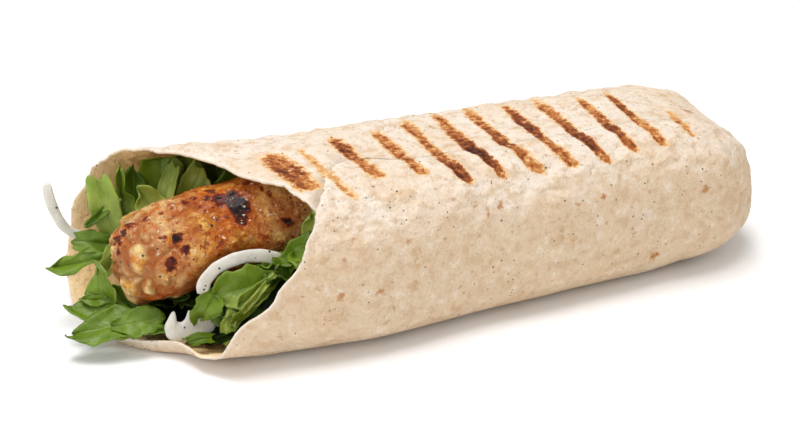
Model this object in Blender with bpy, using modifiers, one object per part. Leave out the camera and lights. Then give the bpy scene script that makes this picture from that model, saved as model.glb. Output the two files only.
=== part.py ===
# Chicken kebab sandwich: a grilled flatbread rolled round a minced-chicken kebab, salad leaves and onion.
# It lies on its flat underside. +X runs towards the closed end, -X is the open mouth, +Z is up.
# The origin is on the resting face, under the middle of the roll. Units are metres.

import random
from math import atan2, cos, pi, radians, sin, sqrt

import bmesh
import bpy
from mathutils import Vector, noise

MM = 0.001

# Driving sizes of the rolled flatbread
ROLL_WIDTH = 78 * MM
ROLL_HEIGHT = 58.5 * MM
SHOULDER_X = 108 * MM
END_X = 144 * MM
BREAD_THICKNESS = 1.6 * MM
SECTION_POWER = 3.0
TOP_FLATTENING = 1.03
BASE_FLATTENING = 1.085
END_POWER = 2.2
END_LEAN = 0.10
END_HEART = 0.42
LAP_STEP = 0.9 * MM
LAP_DEPTH = 1.3 * MM
LAP_BLEND = 25
LAP_THINNING = 22
LIP_LIFT = 4 * MM

# Driving sizes of the kebab
KEBAB_START_X = -98.5 * MM
KEBAB_END_X = 100 * MM
KEBAB_RADIUS = 16.6 * MM
KEBAB_Y = -3 * MM

# Clear space kept between touching pieces, and the thickness of a leaf
GAP = 0.4 * MM
SLIVER = 0.015 * MM
LEAF_THICKNESS = 0.8 * MM

# The bread's mouth edge: how far round the section it lies, in degrees from the front (0) over the top
# (90 is up), and its x in mm. It starts at the outer lap's corner and goes down round to the inner lap.
MOUTH_EDGE = [
    (85, -18), (82, -22.5), (74, -27.5), (60, -32), (46, -36.5), (28, -40.5), (10, -46), (0, -54),
    (-9, -65.5), (-18, -69.5), (-33, -72.5), (-50, -78), (-71, -84), (-90, -103.5), (-99, -107.5), (-116, -109),
    (-152, -109.5), (-180, -105), (-194, -99.5), (-220, -94), (-236, -88), (-250, -77.5), (-270, -56.5),
    (-285, -44.5), (-300, -40), (-314, -36.5), (-330, -34),
]

# How much wider the roll is at its base than at its top, as a share of its width: place along it in mm, share
BASE_SPREAD = [
    (-100, 0.03), (-75, 0.01), (-50, 0.03), (-20, 0.07), (5, 0.10), (25, 0.11), (45, 0.05), (70, -0.04), (110, -0.09),
]


def smooth(t):
    """Ease from 0 to 1."""
    t = min(max(t, 0.0), 1.0)
    return t * t * (3 - 2 * t)


def along(stations, at):
    """Read the value at a place between the stations of a list of (place, value)."""
    stations = sorted(stations)
    if at <= stations[0][0]:
        return stations[0][1]
    for (low, low_value), (high, high_value) in zip(stations, stations[1:]):
        if at <= high:
            share = (at - low) / (high - low)
            return low_value + (high_value - low_value) * share
    return stations[-1][1]


def signed_power(value, power):
    return abs(value) ** power * (1 if value >= 0 else -1)


def new_object(name, mesh, collection):
    piece = bpy.data.objects.new(name, mesh)
    collection.objects.link(piece)
    return piece


def mesh_from(name, bm):
    mesh = bpy.data.meshes.new(name)
    bm.to_mesh(mesh)
    bm.free()
    return mesh


def material(name, colour, roughness):
    made = bpy.data.materials.new(name)
    made.use_nodes = True
    shader = made.node_tree.nodes["Principled BSDF"]
    shader.inputs["Base Color"].default_value = (*colour, 1)
    shader.inputs["Roughness"].default_value = roughness
    shader.inputs["Metallic"].default_value = 0
    return made


def finish(piece, look):
    """Give a piece its material and smooth shading."""
    piece.data.materials.clear()
    piece.data.materials.append(look)
    piece.data.shade_smooth()
    piece.data.set_sharp_from_angle(angle=radians(50))


def settle(piece):
    """Turn a piece and its modifiers into a plain mesh."""
    graph = bpy.context.evaluated_depsgraph_get()
    mesh = bpy.data.meshes.new_from_object(piece.evaluated_get(graph))
    piece.modifiers.clear()
    piece.data = mesh
    return piece


# The rolled flatbread's outer surface

def roll_section(theta, x):
    """A point of the roll's outer surface at an angle round it and a place along it."""
    mouth = smooth((0.035 - x) / 0.06)
    half_width = ROLL_WIDTH / 2 * (1 + 0.10 * mouth - 0.03 * smooth((x - 0.04) / 0.09))
    top = ROLL_HEIGHT * (1 + 0.02 * smooth((-0.03 - x) / 0.05) + 0.025 * smooth((-0.085 - x) / 0.025))
    top += ROLL_HEIGHT * (0.02 * smooth((x - 0.05) / 0.05) - 0.04 * smooth((x - 0.09) / 0.03))
    bottom = 3 * MM * smooth((x - 0.09) / 0.03)
    middle = (top + bottom) / 2
    c, s = cos(theta), sin(theta)
    y = -half_width * signed_power(c, 2 / SECTION_POWER)
    flattening = TOP_FLATTENING if s > 0 else BASE_FLATTENING
    z = middle + (top - bottom) / 2 * flattening * signed_power(s, 2 / SECTION_POWER)
    z = min(max(z, bottom), top)
    spread = along(BASE_SPREAD, x / MM) * (1 - z / top)
    shift = -4.5 * MM * mouth + 2 * MM * smooth((x - 0.05) / 0.08)
    return Vector((x, y * (1 + spread) + shift, z))


def roll_point(theta, x, turn):
    """The same, carried on round the closed end as turn goes from 0 to a quarter turn."""
    point = roll_section(theta, x)
    if turn <= 0:
        return point
    shrink = abs(cos(turn)) ** (2 / END_POWER)
    lean = 1 - END_LEAN * (2 * point.z / ROLL_HEIGHT - 1)
    heart = END_HEART * ROLL_HEIGHT
    point.x += (END_X - SHOULDER_X) * sin(turn) ** (2 / END_POWER) * lean
    point.y *= shrink
    point.z = heart + (point.z - heart) * shrink
    return point


def roll_inward(theta, x, turn):
    """The direction into the roll from its outer surface."""
    step = 0.01
    round_it = roll_point(theta + step, x, turn) - roll_point(theta - step, x, turn)
    if turn > 0:
        lengthwise = roll_point(theta, x, turn + step) - roll_point(theta, x, max(turn - step, 1e-6))
    else:
        lengthwise = roll_point(theta, x + 0.0005, 0) - roll_point(theta, x - 0.0005, 0)
    return round_it.cross(lengthwise).normalized()


def swell(theta, x):
    """How far the filling pushes the bread in and out, nothing on the resting face."""
    place = Vector((x * 28, cos(theta) * 1.3, sin(theta) * 1.3))
    lift = smooth((sin(theta) + 0.75) / 0.4)
    return 0.9 * MM * noise.noise(place) * lift


# The bread sheet, laid once round the filling and on under its own outer lap

TURN_STEPS = 48
LAP_STEPS = 7
BODY_STEPS = 12
END_STEPS = 7
END_TURN = radians(84)


def sheet_place(column, row):
    """Unrolled angle in degrees, x and end turn of one grid point of the sheet."""
    unrolled = MOUTH_EDGE[0][0] - 360 * column / TURN_STEPS
    edge_x = along(MOUTH_EDGE, unrolled) * MM
    x = edge_x + (SHOULDER_X - edge_x) * min(row / BODY_STEPS, 1) ** 1.15
    turn = END_TURN * max(row - BODY_STEPS, 0) / END_STEPS
    return unrolled, x, turn


def lip_lift(unrolled):
    """How far the mouth's lower edge curls up off the table."""
    return LIP_LIFT * smooth((-45 - unrolled) / 20) * smooth((unrolled + 112) / 15)


def sheet_depth(unrolled):
    """How deep the sheet runs below the roll's surface where it dips under its outer lap."""
    dip = LAP_STEP * smooth((-unrolled - 150) / 110)
    covered = LAP_DEPTH * smooth((MOUTH_EDGE[0][0] - 360 - unrolled) / LAP_BLEND)
    return dip + covered


def bread_sheet(name, collection, grow=0.0):
    """The rolled sheet as a solid; grow makes it fatter all round, for cutting."""
    bm = bmesh.new()
    columns, rows = TURN_STEPS + LAP_STEPS, BODY_STEPS + END_STEPS
    bmesh.ops.create_grid(bm, x_segments=columns, y_segments=rows, size=0.5)
    weights = []
    for vertex in bm.verts:
        row = round((vertex.co.y + 0.5) * rows)
        unrolled, x, turn = sheet_place((vertex.co.x + 0.5) * columns, row)
        theta = radians(unrolled)
        inward = roll_inward(theta, x, turn)
        depth = sheet_depth(unrolled) + swell(theta, x) - grow
        vertex.co = roll_point(theta, x, turn) + inward * depth
        vertex.co.x -= grow if row == 0 else 0
        vertex.co.z = max(vertex.co.z, -grow) + (lip_lift(unrolled) if row == 0 else 0)
        weights.append(0.3 + 0.7 * smooth((MOUTH_EDGE[0][0] - unrolled) / LAP_THINNING))
    sheet = new_object(name, mesh_from(name, bm), collection)
    outer_lap = sheet.vertex_groups.new(name="thickness")
    for index, weight in enumerate(weights):
        outer_lap.add([index], weight, "REPLACE")
    solid = sheet.modifiers.new("thickness", "SOLIDIFY")
    solid.thickness = BREAD_THICKNESS + 2 * grow
    solid.offset = -1
    solid.vertex_group = outer_lap.name
    return sheet


def tucked_end(name, collection):
    """The gathered end of the sheet, pleated and pushed into the closed end of the roll."""
    bm = bmesh.new()
    bmesh.ops.create_uvsphere(bm, u_segments=16, v_segments=8, radius=1)
    for vertex in bm.verts:
        around = atan2(vertex.co.y, vertex.co.x) + 0.09
        out = sqrt(max(1 - vertex.co.z ** 2, 0)) * (1 + 0.10 * sin(5 * around))
        x = END_X - 3 * MM + 5 * MM * signed_power(vertex.co.z, 0.6)
        y = 2 * MM + 10 * MM * out * cos(around)
        vertex.co = Vector((x, y, END_HEART * ROLL_HEIGHT + 8.5 * MM * out * sin(around)))
    return new_object(name, mesh_from(name, bm), collection)


# The kebab

def kebab_centre(x):
    return Vector((x, KEBAB_Y, (29 + 8.5 * smooth((x + 0.092) / 0.05)) * MM))


def kebab_radius(x):
    middle = (KEBAB_START_X + KEBAB_END_X) / 2
    half = (KEBAB_END_X - KEBAB_START_X) / 2
    reach = min(abs(x - middle) / half, 1)
    return KEBAB_RADIUS * (1 - reach ** 16) ** 0.5 * (1 + 0.05 * smooth((-0.045 - x) / 0.03))


def kebab_solid(name, collection, grow=0.0):
    """A hand-pressed sausage of mince with lumps; grow makes it fatter, for cutting."""
    bm = bmesh.new()
    bmesh.ops.create_uvsphere(bm, u_segments=26, v_segments=34, radius=1)
    half = (KEBAB_END_X - KEBAB_START_X) / 2
    for vertex in bm.verts:
        around = atan2(vertex.co.y, vertex.co.x)
        reach = 1 - 2 * abs(atan2(sqrt(vertex.co.x ** 2 + vertex.co.y ** 2), vertex.co.z)) / pi
        reach = signed_power(sin(reach * pi / 2), 0.8)
        x = (KEBAB_START_X + KEBAB_END_X) / 2 + half * reach
        radius = kebab_radius(x)
        out = Vector((0, cos(around), sin(around)))
        lump = 1.3 * MM * noise.noise(Vector((x, out.y * radius, out.z * radius)) * 85)
        vertex.co = kebab_centre(x) + out * max(radius + lump * min(radius / KEBAB_RADIUS, 1), 0)
        vertex.co += out * grow * min(radius / (5 * MM), 1)
        vertex.co.x += grow * signed_power(reach, 8)
    bmesh.ops.remove_doubles(bm, verts=bm.verts, dist=0.00001)
    bmesh.ops.recalc_face_normals(bm, faces=bm.faces)
    return new_object(name, mesh_from(name, bm), collection)


# The salad: a bed that runs through the roll, with the leaves that show at the mouth fused on

BED_START_X = -91.3 * MM
BED_END_X = 112 * MM
BED_INSET = 5.6 * MM
BED_FLOOR = 3.4 * MM
BED_LEAST = 3 * MM
BED_SECTIONS = 14
BED_HALF_STEPS = 10


def bed_top(x, y):
    """Height of the bed: low in the mouth, heaped in front of the kebab and behind it."""
    behind = 21 + 10 * smooth((x + 0.085) / 0.04)
    front = 8 + 22 * smooth((x + 0.074) / 0.034)
    under = 8 + 18 * smooth((x + 0.074) / 0.05)
    middle = KEBAB_Y
    if y > middle:
        side = under + (behind - under) * smooth((y - middle) / 0.014)
    else:
        side = under + (front - under) * smooth((middle - y) / 0.014)
    crumple = 1.6 * noise.noise(Vector((x, y, 0)) * 90)
    return (side + 14 * smooth((x + 0.036) / 0.03) + crumple) * MM


def bed_ring(x, taper):
    """One section of the bed: its underside follows the bread, its top is the heap's height."""
    front, back = roll_section(0, x).y + BED_INSET, roll_section(pi, x).y - BED_INSET
    ceiling = roll_section(pi / 2, x).z - BED_INSET
    bottom = roll_section(-pi / 2, x).z + BED_FLOOR
    heart, half, middle = (front + back) / 2, (back - front) / 2 * taper, (ceiling + bottom) / 2
    under, over = [], []
    for step in range(BED_HALF_STEPS + 1):
        share = -cos(pi * step / BED_HALF_STEPS)
        bulge = (1 - abs(share) ** SECTION_POWER) ** (1 / SECTION_POWER)
        y = heart + half * share
        top = min(bed_top(x, y), middle + (ceiling - middle) * bulge)
        low = middle + (bottom - middle) * bulge
        under.append(Vector((x, y, min(low, top - BED_LEAST))))
        over.append(Vector((x, y, top)))
    return under + over[::-1]


def salad_bed(name, collection):
    """The packed leaves inside, a loft that follows the bread and stops below its top."""
    bm = bmesh.new()
    rings = []
    for station in range(BED_SECTIONS + 1):
        x = BED_START_X + (BED_END_X - BED_START_X) * station / BED_SECTIONS
        taper = min(sqrt(station / 2 + 0.2), sqrt((BED_SECTIONS - station) / 2 + 0.3), 1)
        rings.append([bm.verts.new(point) for point in bed_ring(x, taper)])
    ring_steps = len(rings[0])
    for near, far in zip(rings, rings[1:]):
        for step in range(ring_steps):
            follow = (step + 1) % ring_steps
            bm.faces.new((near[step], near[follow], far[follow], far[step]))
    for ring, bulge in ((rings[0], -2.5 * MM), (rings[-1], 2.5 * MM)):
        heart = sum((vertex.co for vertex in ring), Vector()) / ring_steps
        tip = bm.verts.new(heart + Vector((bulge, 0, 0)))
        for step in range(ring_steps):
            bm.faces.new((ring[step], ring[(step + 1) % ring_steps], tip))
    bmesh.ops.triangulate(bm, faces=bm.faces)
    bmesh.ops.recalc_face_normals(bm, faces=bm.faces)
    return new_object(name, mesh_from(name, bm), collection)


# Each leaf that shows: root and tip in mm, width in mm, which way its face looks, and how far it bows in mm
LEAVES = {
    "back_tall": ((-84, 21, 10), (-98.5, 22, 50), 13, (-0.4, -0.9, 0.2), 3),
    "back_finger": ((-84, 25, 14), (-88.5, 25, 50), 7, (-0.2, -0.9, 0.3), -2),
    "back_stalk": ((-83, 22, 17), (-103.5, 20, 32), 4, (0.3, -0.9, 0.4), 4),
    "back_dark": ((-80, 27, 16), (-81.5, 29, 48), 9, (-0.2, -0.9, 0.3), 2),
    "back_wide": ((-72, 26, 18), (-75.5, 28, 51), 15, (-0.2, -0.9, 0.3), 2),
    "back_bright": ((-78, 20, 16), (-70, 23.5, 50.5), 8, (-0.5, -0.8, 0.2), 3),
    "back_broad": ((-83, 18, 17), (-72, 20, 43.5), 12, (-0.2, -0.9, 0.4), 3),
    "back_short": ((-72, 18, 18), (-61, 20.5, 46.5), 11, (-0.1, -0.9, 0.4), 3),
    "back_far": ((-60, 23, 18), (-65, 25, 50.5), 11, (-0.2, -0.9, 0.3), 2),
    "back_strip": ((-62, 19, 20), (-45, 20, 46), 9, (-0.2, -0.9, 0.4), 1),
    "side_square": ((-84, 17, 15), (-108, 20, 28.5), 11, (-0.3, -0.8, 0.5), 2),
    "side_tip": ((-84, 14, 14), (-120.5, 18, 20.5), 9, (0.1, -0.5, 0.85), 3),
    "side_low": ((-85, 8, 7), (-111, 6, 16), 11, (-0.3, -0.4, 0.85), 2),
    "end_upright": ((-87.5, 4, 6), (-103.3, 4, 24.5), 10, (-0.7, -0.6, 0.3), 2),
    "end_bright": ((-84, 10, 12), (-101.8, 12, 25), 7, (-0.4, -0.8, 0.4), 2),
    "floor_left": ((-85, -2, 6), (-114, 3, 11), 9, (-0.1, -0.3, 0.95), 2),
    "floor_round": ((-83, -14, 6.6), (-114.5, -11, 6.5), 13, (0, -0.2, 0.98), 3),
    "floor_veined": ((-82, -14, 7), (-102, -12, 9), 10, (-0.1, -0.6, 0.8), 2),
    "floor_thin": ((-80, -20, 6), (-97, -13, 9), 5, (0, -0.3, 0.95), 1),
    "heap_curled": ((-56, -21, 20), (-75.2, -21, 15), 12, (-0.1, -0.8, 0.6), 4),
    "heap_broad": ((-40, -29, 24), (-64, -26, 16.5), 16, (-0.2, -0.8, 0.55), 3),
    "heap_strip": ((-58, -28, 17), (-69, -29, 7), 6, (-0.4, -0.9, 0.3), 2),
    "heap_top": ((-46, -27, 24), (-33.5, -30, 38), 8, (-0.2, -0.6, 0.8), 2),
    "heap_back": ((-38, -25, 26), (-52.3, -24, 25), 8, (-0.2, -0.6, 0.8), 2),
    "heap_dark": ((-52, -31, 12), (-64.6, -31.5, 23), 11, (-0.3, -0.9, 0.2), 2),
    "heap_low": ((-66, -24, 7), (-73.5, -21, 20), 8, (-0.4, -0.9, 0.2), 2),
    "notch": ((-37, -26, 28), (-33, -28, 47), 9, (-0.5, -0.8, 0.2), 1),
    "rim_strip": ((-60, -28, 9.5), (-81, -24, 6.5), 5, (0, -0.6, 0.8), 1),
}
LEAF_FLOOR = 2.6
LEAF_LENGTHS = 5
LEAF_WIDTHS = 3


def leaf(name, collection, root, tip, width, facing, bow, rng):
    """One torn piece of leaf: cut across at its root, lobed, bowed along and cupped across."""
    root, tip = Vector(root) * MM, Vector(tip) * MM
    lengthwise = tip - root
    side = lengthwise.cross(Vector(facing)).normalized()
    face = side.cross(lengthwise).normalized()
    phase = rng.uniform(0, 2 * pi)
    floor = (LEAF_FLOOR + rng.uniform(0, 0.6)) * MM
    bm = bmesh.new()
    bmesh.ops.create_grid(bm, x_segments=LEAF_LENGTHS, y_segments=LEAF_WIDTHS, size=0.5)
    bmesh.ops.triangulate(bm, faces=bm.faces)
    for vertex in bm.verts:
        share, across = vertex.co.x + 0.5, 2 * vertex.co.y
        outline = 0.3 + 0.7 * sin(pi * min(share * 0.85 + 0.1, 1)) ** 0.7
        outline *= 1 + 0.18 * sin(9 * share + phase + across)
        rise = bow * MM * sin(pi * share) + 0.12 * width * MM * across * across
        rise += 0.5 * MM * sin(7 * share + 2 * across + phase)
        vertex.co = root + lengthwise * share + side * across * outline * width / 2 * MM + face * rise
        vertex.co.z = max(vertex.co.z, floor)
    piece = new_object(name, mesh_from(name, bm), collection)
    solid = piece.modifiers.new("thickness", "SOLIDIFY")
    solid.thickness = LEAF_THICKNESS
    solid.offset = 0
    return settle(piece)


def keep_largest_body(piece):
    """Drop the loose scraps that cutting leaves behind."""
    bm = bmesh.new()
    bm.from_mesh(piece.data)
    left = set(bm.verts)
    bodies = []
    while left:
        body, edge = set(), [left.pop()]
        while edge:
            vertex = edge.pop()
            body.add(vertex)
            for link in vertex.link_edges:
                other = link.other_vert(vertex)
                if other in left:
                    left.discard(other)
                    edge.append(other)
        bodies.append(body)
    bodies.sort(key=len)
    loose = [vertex for body in bodies[:-1] for vertex in body]
    bmesh.ops.delete(bm, geom=loose, context="VERTS")
    bm.to_mesh(piece.data)
    bm.free()


def boolean(piece, operation, collection):
    """Join a piece with, or cut it by, everything in a collection, which is then emptied."""
    cut = piece.modifiers.new(operation.lower(), "BOOLEAN")
    cut.operation = operation
    cut.operand_type = "COLLECTION"
    cut.collection = collection
    # The exact solver loses the lapped sheet and the thin leaves, and this one joins them.
    cut.solver = "MANIFOLD"
    settle(piece)
    for other in list(collection.objects):
        bpy.data.objects.remove(other)
    bpy.data.collections.remove(collection)


def close_slivers(piece):
    """Collapse the hair-thin faces that a join or cut leaves."""
    bm = bmesh.new()
    bm.from_mesh(piece.data)
    bmesh.ops.dissolve_degenerate(bm, dist=SLIVER, edges=bm.edges)
    bmesh.ops.triangulate(bm, faces=bm.faces)
    bm.to_mesh(piece.data)
    bm.free()


def scratch_collection(name):
    made = bpy.data.collections.new(name)
    bpy.context.scene.collection.children.link(made)
    return made


# Onion: pale strips cut from the rings

ONIONS = {
    "onion_arc": {
        "path": [(-73.5, -23.8, 22.5), (-71.5, -23.9, 27.5), (-68, -24, 31), (-63, -24, 33),
                 (-57, -24, 33.8), (-51, -24, 33), (-46, -24, 30.5), (-42.5, -24, 27)],
        "width": 4.2, "thickness": 2.4, "facing": (0, -1, 0), "ragged": 0.05},
    "onion_tail": {
        "path": [(-114.1, 28, 47.7), (-113.8, 28, 42), (-112.2, 28, 36), (-109.5, 28, 30),
                 (-105, 27.6, 26.4), (-99.5, 27, 24.8), (-94, 26, 23.5)],
        "width": 4.4, "thickness": 1.6, "facing": (-0.2, -1, 0.2), "ragged": 0.1},
    "onion_chunk": {
        "path": [(-86, -21.6, 12), (-82, -22.4, 11), (-77.5, -22.8, 10.8), (-73, -23, 10.6), (-68.5, -23, 10)],
        "width": 8.5, "thickness": 2.2, "facing": (-0.2, -1, 0.3), "ragged": 0.2},
}


def onion_strip(name, collection, path, width, thickness, facing, ragged, grow=0.0):
    """A strip of onion along a path, with blunt ragged edges; grow makes it fatter, for cutting."""
    points = [Vector(point) * MM for point in path]
    facing = Vector(facing).normalized()
    lengths, widths = 3 * (len(points) - 1), 2
    bm = bmesh.new()
    bmesh.ops.create_grid(bm, x_segments=lengths, y_segments=widths, size=0.5)
    bmesh.ops.triangulate(bm, faces=bm.faces)
    for vertex in bm.verts:
        share, across = vertex.co.x + 0.5, 2 * vertex.co.y
        place = share * (len(points) - 1)
        near = min(int(place), len(points) - 2)
        along_path = (points[near + 1] - points[near]).normalized()
        centre = points[near].lerp(points[near + 1], place - near)
        side = along_path.cross(facing).normalized()
        blunt = 0.55 + 0.45 * min(1, 6 * share, 6 * (1 - share)) ** 0.5
        tear = 1 + ragged * sin(23 * share + 2 * across)
        vertex.co = centre + side * across * (width / 2 * MM * blunt * tear + grow)
        vertex.co += along_path * grow * (2 * share - 1 if share in (0, 1) else 0)
    piece = new_object(name, mesh_from(name, bm), collection)
    solid = piece.modifiers.new("thickness", "SOLIDIFY")
    solid.thickness = thickness * MM + 2 * grow
    solid.offset = 0
    return settle(piece)


def build_bread(parts, look):
    bread = bread_sheet("flatbread", parts)
    settle(bread)
    tuck = scratch_collection("tuck")
    tucked_end("tucked_end", tuck)
    boolean(bread, "UNION", tuck)
    keep_largest_body(bread)
    close_slivers(bread)
    finish(bread, look)


def build_salad(parts, cutters, look):
    rng = random.Random(7)
    leaves = scratch_collection("leaves")
    for name, (root, tip, width, facing, bow) in LEAVES.items():
        leaf(name, leaves, root, tip, width, facing, bow, rng)
    salad = salad_bed("salad", parts)
    boolean(salad, "UNION", leaves)
    boolean(salad, "DIFFERENCE", cutters)
    keep_largest_body(salad)
    close_slivers(salad)
    finish(salad, look)


def build_cutters():
    """Fatter copies of the other pieces, so that the salad stays clear of them."""
    cutters = scratch_collection("cutters")
    kebab_solid("kebab_room", cutters, GAP)
    settle(bread_sheet("bread_room", cutters, GAP))
    for name, sizes in ONIONS.items():
        onion_strip(name + "_room", cutters, grow=GAP, **sizes)
    for cutter in cutters.objects:
        cutter.hide_render = True
        cutter.display_type = "WIRE"
    return cutters


def build():
    for old in list(bpy.data.objects):
        bpy.data.objects.remove(old)
    parts = scratch_collection("chicken_kebab_sandwich")
    build_bread(parts, material("flatbread", (0.78, 0.60, 0.40), 0.8))
    finish(kebab_solid("chicken_kebab", parts), material("chicken", (0.55, 0.25, 0.08), 0.4))
    build_salad(parts, build_cutters(), material("salad", (0.12, 0.25, 0.04), 0.5))
    onion_look = material("onion", (0.85, 0.82, 0.74), 0.3)
    for name, sizes in ONIONS.items():
        finish(onion_strip(name, parts, **sizes), onion_look)


build()
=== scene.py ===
import random
from math import atan2, cos, degrees, exp, pi, radians, sin, sqrt

import bmesh
import bpy
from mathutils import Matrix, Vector, noise


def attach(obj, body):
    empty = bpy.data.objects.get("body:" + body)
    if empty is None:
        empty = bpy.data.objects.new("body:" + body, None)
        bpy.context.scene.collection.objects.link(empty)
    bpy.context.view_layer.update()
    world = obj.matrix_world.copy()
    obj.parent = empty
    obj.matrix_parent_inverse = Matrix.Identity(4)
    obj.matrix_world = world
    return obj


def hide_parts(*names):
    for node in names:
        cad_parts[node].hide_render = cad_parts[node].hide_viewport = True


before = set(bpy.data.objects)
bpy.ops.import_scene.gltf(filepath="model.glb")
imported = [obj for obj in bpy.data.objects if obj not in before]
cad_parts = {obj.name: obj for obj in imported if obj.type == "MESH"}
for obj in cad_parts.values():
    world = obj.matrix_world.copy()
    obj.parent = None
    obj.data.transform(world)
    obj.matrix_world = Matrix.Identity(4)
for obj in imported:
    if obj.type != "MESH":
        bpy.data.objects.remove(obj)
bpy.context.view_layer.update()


# The flatbread is one soft sheet of thin pale wheat dough, baked dry. It is rolled once round the filling
# with its outer lap on top, folded shut at the right end, and open at the left end on a slant.

MM = 0.001
ROLL_WIDTH, ROLL_HEIGHT = 78 * MM, 58.5 * MM
SHOULDER_X, END_X = 108 * MM, 144 * MM
BREAD_THICKNESS = 1.6 * MM
SECTION_POWER, END_POWER = 3.0, 2.2
TOP_FLATTENING, BASE_FLATTENING = 1.03, 1.085
END_HEART, END_LEAN = 0.42, 0.10
LAP_STEP, LAP_DEPTH = 0.9 * MM, 1.3 * MM
LIP_LIFT, LIP_RUN = 4.2 * MM, 4.5 * MM
CORNER_LIFT, CORNER_RUN = 2.2 * MM, 22 * MM
MOUTH_SHIFT, MOUTH_WIDENING = -4.5 * MM, 0.10

# The mouth's edge: how far round the roll it lies, in degrees from the front (0) over the top (90), and its
# x in mm
MOUTH_EDGE = [
    (85, -18), (82, -22.5), (74, -27.5), (60, -32), (46, -36.5), (28, -40.5), (10, -46), (0, -54),
    (-9, -65.5), (-18, -69.5), (-33, -72.5), (-50, -78), (-71, -84), (-90, -103.5), (-99, -107.5),
    (-116, -109), (-152, -109.5), (-180, -105), (-194, -99.5), (-220, -94), (-236, -88), (-250, -77.5),
    (-270, -56.5), (-285, -44.5), (-300, -40), (-314, -36.5), (-330, -34),
]
MOUTH_EDGE.sort()

# How much wider the roll is at its base than at its top, as a share of its width: place along it in mm, share
BASE_SPREAD = [
    (-100, 0.03), (-75, 0.01), (-50, 0.03), (-20, 0.07), (5, 0.10), (25, 0.11), (45, 0.05), (70, -0.04),
    (110, -0.09),
]
SEAM_ANGLE = 85
SHEET_ANGLE = 412.5
SHEET_COLUMNS = 275
BODY_ROWS, END_ROWS = 165, 55
END_TURN = radians(84)
INNER_ROWS = list(range(0, 60, 2)) + list(range(60, 221, 8))

# Each grill mark: angle and x in mm of its upper end, then of its lower end, half its width in mm, how dark
# it is and the share of its length at which it is darkest
GRILL_MARKS = [
    (94.5, -41, 66, -35, 6.6, 0.55, 0.5),
    (98, -29.5, 50, -22.5, 3.0, -0.45, 0.5),
    (103.5, -15.5, 64, -11.5, 4.0, 0.45, 0.3),
    (102, 0.5, 59, 4, 3.3, 0.2, 0.6),
    (108, 13.5, 44, 19, 3.5, 0.7, 0.85),
    (117, 27.5, 43, 32.5, 3.5, 1.2, 0.62),
    (118, 40.5, 42.5, 46, 3.5, 0.5, 0.5),
    (112.5, 54, 42.5, 59, 3.3, 0.8, 0.35),
    (110, 67, 41, 72, 3.1, 0.9, 0.65),
    (102, 81.5, 45, 83.5, 2.9, 0.6, 0.6),
    (102, 94, 45, 95.5, 2.5, 0.5, 0.25),
    (85, 109.5, 51, 108, 2.4, -0.3, 0.2),
]

# The bars pressed on the roll from the near side: what a place further back counts for in height and sideways
PRESS_TILT, PRESS_TURN = 0.44, 0.36
DEGREE_WIDTH = 0.63 * MM


def ease(t):
    """Ease from 0 to 1."""
    t = min(max(t, 0.0), 1.0)
    return t * t * (3 - 2 * t)


def signed_power(value, power):
    return abs(value) ** power * (1 if value >= 0 else -1)


def along(stations, at):
    """Read a smooth curve through (place, value) stations, which are sorted by place."""
    last = len(stations) - 1
    if at <= stations[0][0]:
        return stations[0][1]
    if at >= stations[last][0]:
        return stations[last][1]
    i = next(k for k in range(last) if at <= stations[k + 1][0])

    def slope(k):
        low, high = stations[max(k - 1, 0)], stations[min(k + 1, last)]
        return (high[1] - low[1]) / (high[0] - low[0])

    span = stations[i + 1][0] - stations[i][0]
    t = (at - stations[i][0]) / span
    start, end = stations[i][1], stations[i + 1][1]
    rest = t * (t - 1) * ((t - 1) * slope(i) + t * slope(i + 1)) * span
    return start + (end - start) * ease(t) + rest


def roll_top(x):
    top = ROLL_HEIGHT * (1 + 0.02 * ease((-0.03 - x) / 0.05) + 0.025 * ease((-0.085 - x) / 0.025))
    return top + ROLL_HEIGHT * (0.02 * ease((x - 0.05) / 0.05) - 0.04 * ease((x - 0.09) / 0.03))


def near_mouth(x):
    """From 0 in the middle of the roll to 1 at its mouth."""
    return ease((0.035 - x) / 0.06)


def roll_section(angle, x):
    """A point of the roll's outer surface at an angle round it and a place along it."""
    mouth = near_mouth(x)
    half_width = ROLL_WIDTH / 2 * (1 + MOUTH_WIDENING * mouth - 0.03 * ease((x - 0.04) / 0.09))
    top = roll_top(x)
    bottom = 3 * MM * ease((x - 0.09) / 0.03)
    middle = (top + bottom) / 2
    s = sin(angle)
    y = -half_width * signed_power(cos(angle), 2 / SECTION_POWER)
    flattening = TOP_FLATTENING if s > 0 else BASE_FLATTENING
    z = middle + (top - bottom) / 2 * flattening * signed_power(s, 2 / SECTION_POWER)
    z = min(max(z, bottom), top)
    spread = along(BASE_SPREAD, x / MM) * (1 - z / top)
    shift = MOUTH_SHIFT * mouth + 2 * MM * ease((x - 0.05) / 0.08)
    return Vector((x, y * (1 + spread) + shift, z))


def roll_point(angle, x, turn):
    """The same, carried on round the closed end as turn goes from 0 to a quarter turn."""
    point = roll_section(angle, x)
    if turn <= 0:
        return point
    shrink = abs(cos(turn)) ** (2 / END_POWER)
    lean = 1 - END_LEAN * (2 * point.z / ROLL_HEIGHT - 1)
    heart = END_HEART * ROLL_HEIGHT
    point.x += (END_X - SHOULDER_X) * sin(turn) ** (2 / END_POWER) * lean
    point.y *= shrink
    point.z = heart + (point.z - heart) * shrink
    return point


def roll_inward(angle, x, turn):
    """The direction into the roll from its outer surface."""
    step = 0.01
    round_it = roll_point(angle + step, x, turn) - roll_point(angle - step, x, turn)
    if turn > 0:
        lengthwise = roll_point(angle, x, turn + step) - roll_point(angle, x, max(turn - step, 1e-6))
    else:
        lengthwise = roll_point(angle, x + 0.0005, 0) - roll_point(angle, x - 0.0005, 0)
    return round_it.cross(lengthwise).normalized()


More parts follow.
